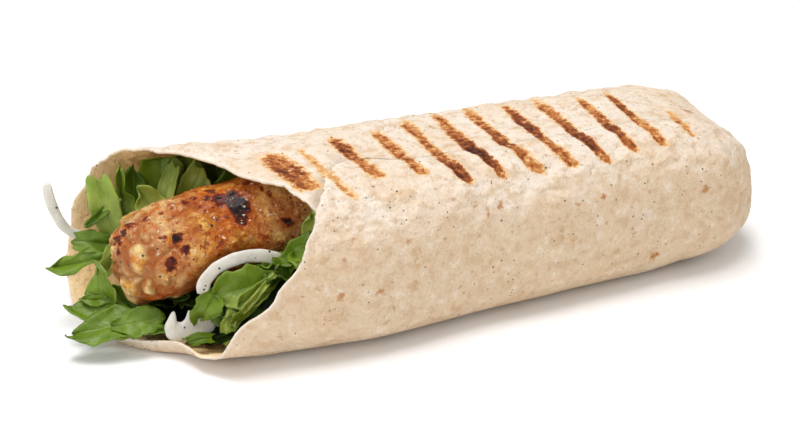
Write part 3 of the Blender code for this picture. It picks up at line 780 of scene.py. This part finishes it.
def bed_core():
    bm = bmesh.new()
    rings = []
    for station in range(BED_STATIONS + 1):
        share = station / BED_STATIONS
        x = BED_START_X + (BED_END_X - BED_START_X) * share ** 1.3
        from_start, to_end = (x - BED_START_X) / BED_TAPER_RUN, (BED_END_X - x) / BED_TAPER_RUN
        taper = sqrt(min(from_start + 0.2, to_end + 0.3, 1))
        ring = [clear_of_kebab(behind_mouth(point, MOUTH_ROOM), 0.6 * MM) for point in bed_ring(x, taper)]
        rings.append([bm.verts.new(point) for point in ring])
    stitch(bm, rings)
    for ring, bulge in ((rings[0], -BED_BULGE), (rings[-1], BED_BULGE)):
        heart = sum((vertex.co for vertex in ring), Vector()) / len(ring)
        cap(bm, ring, bm.verts.new(heart + Vector((bulge, 0, 0))))
    bmesh.ops.recalc_face_normals(bm, faces=bm.faces)
    bm.normal_update()
    for vertex in bm.verts:
        folds = abs(noise.noise(vertex.co * 170)) - 0.5
        vertex.co += vertex.normal * folds * 1.4 * MM
        vertex.co.z = max(vertex.co.z, 1.8 * MM)
    return bm


def bed_look():
    look, tree, shader, place = new_look("packed_leaves_painted_shade")
    cells = node(tree, "TexVoronoi", {"Vector": strayed(place, 120, 0.006), "Scale": 130.0}).outputs
    deep = node(tree, "SeparateColor", {0: cells["Color"]}).outputs[0]
    # Painted shade: the bed's greens are near black, for the shadowed depths between the leaves.
    green = tint(colour(8, 14, 2), (30, 48, 8), deep)
    green = tint(green, (8, 14, 3), window(clouds(place, 240), 0.4, 0.65))
    feed(shader, {"Base Color": green, "Roughness": 0.8, "Specular IOR Level": 0.1})
    bump(shader, [(cells["Distance"], 1.2), (clouds(place, 600), 0.4)])
    return look


bed = new_piece("salad_bed", bed_core())
bed.data.materials.append(bed_look())
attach(bed, "root")
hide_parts("salad")


# The loose leaves are rocket and young spinach, torn across and laid in by hand: thin, lobed and satin,
# each with a pale midrib and side veins. They stand behind the kebab, spill over the lip and overlap.

# How wide each kind of leaf is from root to tip, on its one side and on its other: share of its length,
# share of its widest
OUTLINES = {
    "spinach": ([(0, 0.2), (0.15, 0.45), (0.4, 0.95), (0.65, 1.0), (0.85, 0.78), (0.96, 0.42), (1, 0.1)],
                [(0, 0.2), (0.2, 0.6), (0.4, 1.0), (0.6, 0.9), (0.8, 0.84), (0.94, 0.5), (1, 0.1)]),
    "rocket": ([(0, 0.15), (0.16, 0.25), (0.26, 0.8), (0.36, 0.75), (0.44, 0.35), (0.56, 0.5), (0.7, 1.0),
                (0.86, 0.85), (0.96, 0.4), (1, 0.08)],
               [(0, 0.15), (0.12, 0.3), (0.22, 0.9), (0.32, 0.5), (0.42, 0.4), (0.54, 0.95), (0.66, 0.75),
                (0.74, 0.5), (0.88, 0.62), (0.97, 0.3), (1, 0.08)]),
    "cut": ([(0, 0.4), (0.25, 0.7), (0.5, 1.0), (0.8, 0.9), (0.97, 0.8), (1, 0.7)],
            [(0, 0.4), (0.2, 0.8), (0.45, 0.8), (0.7, 1.0), (0.96, 0.85), (1, 0.75)]),
    "finger": ([(0, 0.6), (0.35, 1.0), (0.55, 0.6), (0.66, 0.25), (0.9, 0.35), (1, 0.2)],
               [(0, 0.6), (0.3, 0.8), (0.52, 1.0), (0.66, 0.8), (0.72, 0.3), (0.9, 0.3), (1, 0.15)]),
    "strip": ([(0, 0.8), (0.5, 1.0), (0.95, 0.9), (1, 0.6)], [(0, 0.9), (0.4, 0.8), (0.9, 1.0), (1, 0.7)]),
}

# Each leaf: root and tip in mm, width in mm, which way the face looks, how far it bows in mm, its kind and
# how pale it is. The paleness is partly the leaf's own tone and partly painted light: leaves at the back of
# the roll and in the heap, which lie in shade, are made paler to make up for it.
LEAVES = {
    "back_tall": ((-88, 16, 18), (-98, 20, 51), 10, (-0.4, -0.9, 0.2), 3, "cut", 0.8),
    "back_finger": ((-89.5, 17, 20), (-89.5, 21, 52.5), 10, (-0.2, -0.9, 0.3), -2, "finger", 0.7),
    "back_stalk": ((-91, 19, 43), (-104, 16, 35), 2.8, (0.3, -0.9, 0.4), 1.5, "strip", 0.15),
    "back_dark": ((-83, 25, 18), (-84, 27, 49.5), 11, (-0.2, -0.9, 0.3), 2, "rocket", 0.35),
    "back_wide": ((-75, 24, 20), (-73.5, 27, 54), 15, (-0.2, -0.9, 0.3), 2, "cut", 0.65),
    "back_bright": ((-78, 18, 25), (-70.5, 21, 51.5), 6, (-0.5, -0.8, 0.2), 3, "cut", 0.85),
    "back_broad": ((-74, 17, 26), (-84.5, 18.5, 45), 11, (-0.2, -0.9, 0.4), 2, "spinach", 0.9),
    "back_short": ((-72, 18, 28), (-61, 20, 48.5), 10, (-0.1, -0.9, 0.4), 2, "cut", 0.85),
    "back_far": ((-60, 25, 18), (-66, 27, 54), 16, (-0.2, -0.9, 0.3), 2, "rocket", 0.5),
    "back_hidden": ((-54, 26, 20), (-55, 28, 54), 16, (-0.2, -0.9, 0.3), 2, "spinach", 0.2),
    "back_last": ((-42, 24, 22), (-43, 26, 54), 15, (-0.2, -0.9, 0.3), 2, "spinach", 0.0),
    "back_strip": ((-62, 19, 20), (-45, 20, 48), 11, (-0.2, -0.9, 0.4), 1, "cut", 0.4),
    "side_square": ((-88, 12, 25), (-108.5, 17, 29.5), 7.5, (-0.3, -0.8, 0.5), 1.5, "cut", 0.3),
    "side_tip": ((-88, 9, 24), (-117, 16, 21), 8.5, (0.0, -0.7, 0.7), 3, "rocket", 0.5),
    "end_low": ((-92, 0, 10), (-110, 0, 15.5), 5, (-0.3, -0.6, 0.7), 1.5, "rocket", 0.5),
    "end_upright": ((-98, 0, 6), (-103, 4, 25), 10.5, (-0.6, -0.7, 0.3), 2.5, "spinach", 0.7),
    "end_bright": ((-93, 8, 34), (-101, 6, 18), 5.5, (-0.5, -0.8, 0.3), 2, "spinach", 0.95),
    "end_second": ((-90, -3, 7), (-100, 2, 19), 8, (-0.5, -0.7, 0.5), 2, "spinach", 0.35),
    "floor_left": ((-90, -5, 6.5), (-114.5, 0, 13.5), 9, (-0.1, -0.6, 0.8), 2, "spinach", 0.4),
    "floor_round": ((-88, -15, 9), (-115.5, -11, 8), 12.5, (0, -0.55, 0.83), 3, "spinach", 0.35),
    "floor_veined": ((-103, -15.5, 11.5), (-85, -16.5, 12), 9.5, (-0.1, -0.7, 0.7), 2, "spinach", 0.35),
    "floor_thin": ((-82, -20, 8.5), (-102, -18, 9), 3.5, (0, -0.5, 0.85), 1, "strip", 0.35),
    "heap_curled": ((-66, -22, 24), (-74.5, -23, 12), 8.5, (-0.4, -0.85, 0.3), 4, "spinach", 0.4),
    "heap_broad": ((-47, -27, 26), (-69, -25, 22), 13, (-0.2, -0.8, 0.5), 2.5, "spinach", 0.65),
    "heap_stem": ((-49.5, -31.5, 29.5), (-62, -33, 17.5), 2.2, (-0.2, -0.8, 0.5), 1, "strip", 1.2),
    "heap_strip": ((-61, -27.5, 22), (-68, -29.5, 7), 4.5, (-0.4, -0.9, 0.3), 2, "cut", 0.85),
    "heap_fold": ((-42, -29, 25), (-61, -29, 19), 10, (-0.2, -0.9, 0.3), 3, "spinach", 0.75),
    "heap_top": ((-47, -26, 24), (-34, -30, 40), 8, (-0.2, -0.6, 0.8), 2, "cut", 0.55),
    "heap_back": ((-38, -25, 26), (-52.3, -24, 27), 9, (-0.2, -0.6, 0.8), 2, "spinach", 0.5),
    "heap_dark": ((-48, -30, 17), (-66, -31, 13), 10, (-0.3, -0.9, 0.2), 2, "spinach", 0.5),
    "heap_low": ((-62, -24, 8), (-71, -22, 19.5), 8, (-0.4, -0.9, 0.2), 2, "spinach", 0.35),
    "notch": ((-33, -26.5, 34), (-35.5, -28.5, 49), 7, (-0.5, -0.8, 0.2), 1, "spinach", 1.2),
    "lip_curl": ((-67, -27.5, 7), (-81, -27, 7), 4, (0, -0.6, 0.8), 2, "spinach", 0.45),
}
LEAF_GRID, LEAF_SEED = (36, 16), 7
LEAF_THICKNESS = 0.35 * MM
LEAF_LEAST_Z = 2.2 * MM
BREAD_ROOM = 2.4 * MM


def inside_bread(point):
    """Pull a place back inside the rolled bread wherever the bread goes round it."""
    x = point.x
    mouth = near_mouth(x)
    top = roll_top(x)
    middle = top / 2
    shift = MOUTH_SHIFT * mouth
    spread = along(BASE_SPREAD, x / MM) * (1 - point.z / top)
    across = (point.y - shift) / (ROLL_WIDTH / 2 * (1 + MOUTH_WIDENING * mouth) * (1 + spread))
    upward = (point.z - middle) / (top / 2)
    reach = (abs(across) ** SECTION_POWER + abs(upward) ** SECTION_POWER) ** (1 / SECTION_POWER)
    unrolled = unrolled_angle(across, upward)
    from_edge = x - along(MOUTH_EDGE, unrolled) * MM
    limit = 1 - BREAD_ROOM / (top / 2)
    pull = 1
    if reach > limit:
        pull += (limit / reach - 1) * ease((from_edge + 1 * MM) / (3 * MM))
    inside = Vector((x, shift + (point.y - shift) * pull, middle + (point.z - middle) * pull))
    if from_edge > -4 * MM:
        inside.z = max(inside.z, BREAD_ROOM + lip_lift(unrolled, from_edge))
    return inside


def leaf(bm, uvs, tones, rng, grid, root, tip, width, facing, bow, kind, tone):
    """One torn leaf as a grid: u runs from root to tip, v across from edge to edge."""
    root, tip = Vector(root) * MM, Vector(tip) * MM
    lengthwise = tip - root
    side = lengthwise.cross(Vector(facing)).normalized()
    face = side.cross(lengthwise).normalized()
    phases = [rng.uniform(0, 2 * pi) for _ in range(3)]
    sway, twist = rng.uniform(-0.10, 0.10), rng.uniform(-0.6, 0.6)
    slant, fold = rng.uniform(-0.12, 0.12), rng.uniform(0.0, 0.22)
    lengths, widths = grid
    rows = []
    for i in range(lengths + 1):
        share = i / lengths
        edges = [along(edge, share) for edge in OUTLINES[kind]]
        lean = twist * (share - 0.4)
        row = []
        for j in range(widths + 1):
            across = 2 * j / widths - 1
            phase = phases[0] if across < 0 else phases[1]
            outline = edges[0] if across < 0 else edges[1]
            outline *= 1 + 0.05 * sin(17 * share + phase) + 0.03 * sin(41 * share + 2 * phase)
            rise = bow * sin(pi * share) + width * (0.06 * across * across + fold * (abs(across) - 0.4))
            rise += 1.5 * noise.noise(Vector((share * 3.2 + phases[0], across * 1.1, phases[1])))
            rise += 0.06 * width * across * across * sin(14 * share + phases[2] * across)
            vein = abs((share * 4.5 - abs(across) * 1.4) % 1 - 0.5) * 2
            rise += 0.16 * (1 - vein ** 6) - 0.4 * exp(-(across / 0.09) ** 2)
            reach = across * outline * width * 0.55
            bend = sway * width * sin(pi * share)
            tear = slant * across + 0.03 * sin(5 * across + phases[2])
            place = root + lengthwise * share * (1 + tear) + side * (reach * cos(lean) + bend) * MM
            place += face * (rise + reach * sin(lean)) * MM
            place = clear_of_kebab(inside_bread(place), 0.8 * MM)
            place.z = max(place.z, LEAF_LEAST_Z)
            row.append(bm.verts.new(place))
            uvs.append((share, across * 0.5 + 0.5))
            tones.append(tone)
        rows.append(row)
    stitch(bm, rows, closed=False)


def settle(piece):
    """Apply a piece's modifiers."""
    graph = bpy.context.evaluated_depsgraph_get()
    mesh = bpy.data.meshes.new_from_object(piece.evaluated_get(graph))
    piece.modifiers.clear()
    piece.data = mesh


def leaf_piece(name, bm, uvs, tones):
    """Leaves as one thin closed mesh, with their grid as the UV map and their paleness as an attribute."""
    layer_uv = bm.loops.layers.uv.new("leaf")
    bm.verts.index_update()
    for face in bm.faces:
        for loop in face.loops:
            loop[layer_uv].uv = uvs[loop.vert.index]
    piece = new_piece(name, bm, {"tone": tones})
    solid = piece.modifiers.new("thickness", "SOLIDIFY")
    solid.thickness = LEAF_THICKNESS
    solid.offset = 0
    settle(piece)
    piece.data.shade_smooth()
    return piece


def leaf_look():
    look, tree, shader, place = new_look("leaf")
    grid = node(tree, "SeparateXYZ", {0: node(tree, "UVMap", uv_map="leaf").outputs[0]}).outputs
    from_rib = maths("ABSOLUTE", maths("SUBTRACT", grid[1], 0.5))
    run = maths("SUBTRACT", times(grid[0], 4.5), times(from_rib, 2.8))
    run = maths("ADD", run, swing(clouds(place, 130), 0.8))
    veins = times(window(maths("PINGPONG", run, 0.5), 0.06, 0.015), 0.35)
    net = node(tree, "TexVoronoi", {"Vector": place, "Scale": 520.0}, feature="DISTANCE_TO_EDGE").outputs[0]
    veins = maths("MAXIMUM", veins, times(window(net, 0.08, 0.01), 0.14))
    veins = maths("MAXIMUM", veins, times(window(from_rib, 0.034, 0.014), 0.65))
    # Each leaf's paleness with a random spread; for the leaves in the roll's shade it is partly painted
    # light.
    tone = maths("ADD", fact(tree, "tone"), swing(clouds(place, 90), 1.1))
    green = tint(colour(58, 86, 8), (112, 142, 30), window(tone, 0.0, 0.55))
    green = tint(green, (170, 186, 84), window(tone, 0.5, 1.1))
    green = tint(green, (172, 190, 104), veins, 0.55)
    feed(shader, {"Base Color": green, "Roughness": 0.38, "Specular IOR Level": 0.5})
    bump(shader, [(times(veins, -1.0), 0.2), (clouds(place, 500, 4.0), 0.3)])
    glow = node(tree, "Mix", {0: 0.5, 6: green, 7: colour(160, 185, 10)}, data_type="RGBA").outputs[2]
    let_light_through(shader, 0.25, glow)
    return look


leaf_finish = leaf_look()
leaves_bm, leaf_uvs, leaf_tones = bmesh.new(), [], []
leaf_rng = random.Random(LEAF_SEED)
for measures in LEAVES.values():
    leaf(leaves_bm, leaf_uvs, leaf_tones, leaf_rng, LEAF_GRID, *measures)
leaves = leaf_piece("salad_leaves", leaves_bm, leaf_uvs, leaf_tones)
leaves.data.materials.append(leaf_finish)
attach(leaves, "root")
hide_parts("salad")


# Small torn pieces of the same leaves lie over the top and the open end of the bed.

SCRAPS, SCRAP_SEED = 90, 21
SCRAP_GRID = (16, 8)


def scrap_leaves():
    bm, uvs, tones = bmesh.new(), [], []
    rng = random.Random(SCRAP_SEED)
    for _ in range(SCRAPS):
        x, y = rng.uniform(-92, -34), rng.uniform(-34, 30)
        z = bed_top(x * MM, y * MM) / MM + rng.uniform(-1.0, 1.5)
        heading, length = rng.uniform(0, 2 * pi), rng.uniform(11, 17)
        slope = rng.uniform(-0.35, 0.45)
        half = Vector((cos(heading), sin(heading) * 0.8, slope)) * length / 2
        middle = Vector((x, y, z))
        facing = (rng.uniform(-0.5, 0.1), rng.uniform(-0.7, 0.2), 1)
        width, bow, tone = rng.uniform(7, 12), rng.uniform(0.5, 2.5), rng.uniform(0, 0.6)
        kind = rng.choice(("cut", "rocket", "spinach"))
        if x < -62 and y < -6:
            continue
        leaf(bm, uvs, tones, rng, SCRAP_GRID, middle - half, middle + half, width, facing, bow, kind, tone)
    return leaf_piece("salad_scraps", bm, uvs, tones)


scraps = scrap_leaves()
scraps.data.materials.append(leaf_finish)
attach(scraps, "root")
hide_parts("salad")


# Raw white onion, cut in thin half rings: wet, slightly see-through, with blunt cut ends. One curls in front
# of the kebab, one hangs out behind at the far left, and a torn lump lies low at the lip.

ONION_RING_STEPS = 16
ONION_STEPS = 70


def onion_strip(name, path, width, thickness, facing, edges, crumple):
    """A strip swept along a smooth path through points in mm, with uneven edges and blunt ends."""
    marks = [[(i, point[axis]) for i, point in enumerate(path)] for axis in range(3)]
    facing = Vector(facing).normalized()
    last = len(path) - 1

    def centre(t):
        return Vector([along(mark, min(max(t, 0), last)) for mark in marks]) * MM

    bm = bmesh.new()
    rings = []
    for step in range(ONION_STEPS + 1):
        share = step / ONION_STEPS
        t = share * last
        heading = (centre(t + 0.05) - centre(t - 0.05)).normalized()
        side = heading.cross(facing).normalized()
        face = side.cross(heading).normalized()
        blunt = min(1, 12 * share + 0.25, 12 * (1 - share) + 0.25) ** 0.5
        ring = []
        for turn in range(ONION_RING_STEPS):
            around = 2 * pi * turn / ONION_RING_STEPS
            across, out = signed_power(cos(around), 0.8), signed_power(sin(around), 0.8)
            reach = width / 2 * along(edges[0] if across > 0 else edges[1], share)
            reach *= 1 + 0.12 * noise.noise(Vector((share * 12, 2.5 if across > 0 else -2.5, width)))
            place = centre(t) + (side * across * reach + face * out * thickness / 2) * MM * blunt
            place += face * crumple * MM * noise.noise(place * 170)
            ring.append(bm.verts.new(place))
        rings.append(ring)
    stitch(bm, rings)
    bm.faces.new(rings[0][::-1])
    bm.faces.new(rings[-1])
    bmesh.ops.recalc_face_normals(bm, faces=bm.faces)
    return new_piece(name, bm)


def onion_look():
    look, tree, shader, place = new_look("onion")
    wave = {"Vector": place, "Scale": 260.0, "Distortion": 3.0, "Detail": 2.0}
    threads = node(tree, "TexWave", wave).outputs["Fac"]
    flesh = tint(colour(242, 238, 228), (222, 216, 204), window(clouds(place, 120), 0.35, 0.7))
    flesh = tint(flesh, (216, 208, 190), threads, 0.12)
    flesh = tint(flesh, (45, 36, 34), specks(place, 400, 0.15, 0.30))
    feed(shader, {
        "Base Color": flesh, "Roughness": 0.28, "Transmission Weight": 0.22, "IOR": 1.36,
        "Subsurface Weight": 0.3, "Subsurface Radius": (1.0, 0.9, 0.7), "Subsurface Scale": 2 * MM,
    })
    bump(shader, [(threads, 0.03), (clouds(place, 300), 0.35)])
    return look


onion_finish = onion_look()
EVEN_EDGES = ([(0, 1), (1, 1)], [(0, 1), (1, 1)])
TORN_EDGES = (
    [(0, 0.3), (0.15, 0.9), (0.36, 1.25), (0.5, 0.85), (0.62, 1.0), (0.85, 0.9), (1, 0.4)],
    [(0, 0.5), (0.07, 1.15), (0.18, 1.2), (0.25, 0.6), (0.4, 0.65), (0.5, 1.3), (0.58, 0.75), (0.8, 1.0),
     (1, 0.6)],
)

# Each strip: its path in mm, width and thickness in mm, which way its face looks, its edges and how crumpled
# it is in mm
ONION_STRIPS = {
    "onion_arc": ([(-73.5, -23.8, 22.5), (-71.5, -23.9, 27.5), (-68, -24, 31), (-63, -24, 33),
                   (-57, -24, 33.8), (-51, -24, 33), (-46, -24, 30.5), (-42.5, -24, 27)],
                  4.6, 1.9, (0, -1, 0.25), EVEN_EDGES, 0.3),
    "onion_tail": ([(-114.1, 28, 47.7), (-113.8, 28, 42), (-112.2, 28, 36), (-109.5, 28, 30),
                    (-105, 27.6, 26.4), (-99.5, 27, 24.8), (-94, 26, 23.5)],
                   3.6, 1.5, (-0.2, -1, 0.2), EVEN_EDGES, 0.4),
    "onion_chunk": ([(-86, -21.6, 11), (-82, -22.4, 10), (-77.5, -22.8, 9.8), (-73, -23, 9.8),
                     (-68.5, -23, 9.4)],
                    9.0, 1.7, (-0.2, -1, 0.3), TORN_EDGES, 1.6),
}
for node_name, measures in ONION_STRIPS.items():
    strip = onion_strip(node_name + "_strip", *measures)
    strip.data.materials.append(onion_finish)
    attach(strip, "root")
    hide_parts(node_name)


# The table is a plain, pale studio floor, lit by a large soft lamp above and behind and a low pale sky.

FLOOR_HALF, FLOOR_PALENESS = 3.0, 0.94
SKY_STRENGTH = 0.52

# Each lamp: place and size in metres, and power in watts
LAMPS = {
    "key": ((-0.15, -0.02, 1.2), 0.7, 12.3),
    "fill": ((-0.9, -0.7, 0.6), 0.8, 3.5),
    "far_fill": ((0.9, -0.7, 0.6), 0.8, 1.3),
}


def studio():
    bm = bmesh.new()
    bmesh.ops.create_grid(bm, x_segments=8, y_segments=8, size=FLOOR_HALF)
    floor = new_piece("studio_floor", bm)
    look, _, shader, _ = new_look("studio_floor")
    feed(shader, {"Base Color": (FLOOR_PALENESS,) * 3 + (1,), "Roughness": 0.9})
    floor.data.materials.append(look)
    for name, (place, size, power) in LAMPS.items():
        data = bpy.data.lights.new(name, "AREA")
        data.shape, data.size, data.energy = "SQUARE", size, power
        lamp = bpy.data.objects.new(name, data)
        lamp.location = place
        lamp.rotation_euler = (-Vector(place)).to_track_quat("-Z", "Y").to_euler()
        bpy.context.collection.objects.link(lamp)
    world = bpy.data.worlds.new("studio")
    world.use_nodes = True
    feed(world.node_tree.nodes["Background"], {0: (1, 1, 1, 1), 1: SKY_STRENGTH})
    bpy.context.scene.world = world
    bpy.context.scene.view_settings.view_transform = "Standard"


studio()


# The camera stands at the near left, above the mouth, and looks down along the roll.

CAMERA_AZIMUTH, CAMERA_ELEVATION = radians(-20), radians(25)
CAMERA_DISTANCE, CAMERA_FOCAL, CAMERA_SENSOR = 0.585, 73, 36
CAMERA_AIM = Vector((0.006, 0.0, 0.0265))

towards = Vector((sin(CAMERA_AZIMUTH) * cos(CAMERA_ELEVATION), -cos(CAMERA_AZIMUTH) * cos(CAMERA_ELEVATION),
                  sin(CAMERA_ELEVATION)))
camera_data = bpy.data.cameras.new("camera")
camera_data.lens = CAMERA_FOCAL
camera_data.sensor_width = CAMERA_SENSOR
camera = bpy.data.objects.new("camera", camera_data)
camera.location = CAMERA_AIM + towards * CAMERA_DISTANCE
camera.rotation_euler = towards.to_track_quat("Z", "Y").to_euler()
bpy.context.collection.objects.link(camera)
bpy.context.scene.camera = camera
